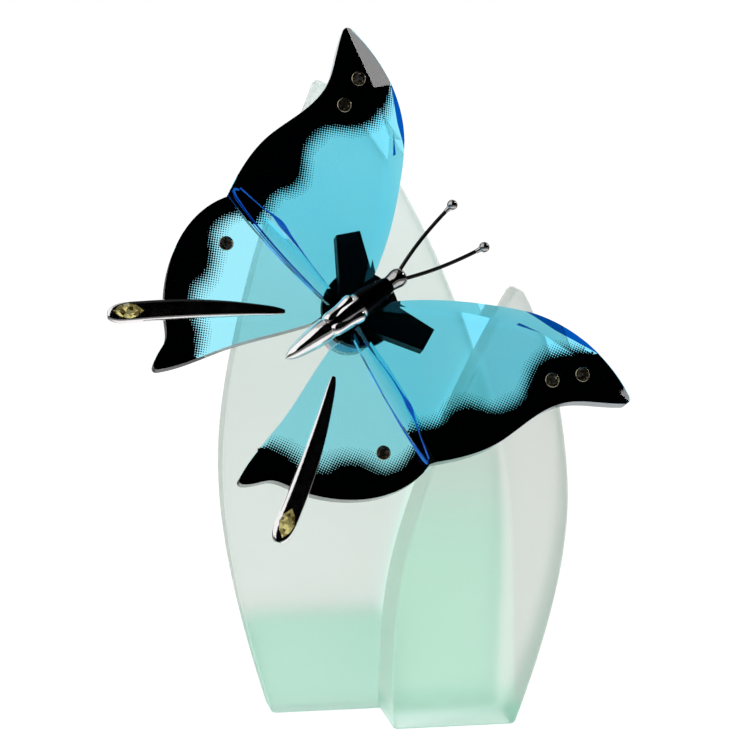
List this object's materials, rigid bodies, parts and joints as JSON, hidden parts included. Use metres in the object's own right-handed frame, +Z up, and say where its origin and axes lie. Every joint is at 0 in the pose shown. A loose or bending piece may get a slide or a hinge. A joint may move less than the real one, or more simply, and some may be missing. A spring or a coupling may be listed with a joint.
{
  "type": "butterfly ornament",
  "caption": "Crystal butterfly with patterned wings on a swivel peg, set in front of a tall and a short leaf of frosted glass that stand as its base.",
  "frame": {"origin": "middle of the tall leaf's foot, on the surface that the ornament stands on", "axes": "+Z up, -Y towards the show side, +X from the tall leaf towards the short leaf"},
  "size_m": [0.0996, 0.0531, 0.1381],
  "materials": {
    "frosted_glass": "satin etched glass, pale green where it is thick",
    "blue_crystal": "polished aquamarine crystal",
    "yellow_crystal": "polished pale yellow crystal",
    "smoke_crystal": "polished dark crystal",
    "bright_plate": "bright polished plating",
    "black_metal": "black satin",
    "mount_steel": "turned",
    "sleeve_nylon": "natural"
  },
  "bodies": {
    "stand": {"tall_leaf": "frosted_glass", "short_leaf": "frosted_glass", "rear_foot": "frosted_glass", "mount_plate": "mount_steel", "mount_post": "mount_steel"},
    "swivel": {"friction_sleeve": "sleeve_nylon"},
    "butterfly": {"mount_socket": "black_metal", "wing_carrier": "black_metal", "carrier_screws": "mount_steel", "thorax": "bright_plate", "abdomen": "bright_plate", "head": "bright_plate", "antenna_left": "bright_plate", "antenna_right": "bright_plate", "antenna_knob_left": "bright_plate", "antenna_knob_right": "bright_plate", "forewing_left": "blue_crystal", "forewing_right": "blue_crystal", "hindwing_left": "blue_crystal", "hindwing_right": "blue_crystal", "tail_left": "bright_plate", "tail_right": "bright_plate", "tail_gem_left": "yellow_crystal", "tail_gem_right": "yellow_crystal", "tip_stone_left": "smoke_crystal", "tip_stone_right": "smoke_crystal", "margin_stone_left": "smoke_crystal", "margin_stone_right": "smoke_crystal", "hind_stone_left": "smoke_crystal", "hind_stone_right": "smoke_crystal"}
  },
  "joints": [
    {"name": "butterfly_swivel", "type": "hinge", "parent": "stand", "child": "swivel", "pos_m": [-0.0073, -0.01349, 0.08175], "axis": [0, -0.9397, 0.342], "continuous": true},
    {"name": "butterfly_lift_off", "type": "slide", "parent": "swivel", "child": "butterfly", "axis": [0, -0.9397, 0.342], "range_m": [0, 0.012]}
  ]
}
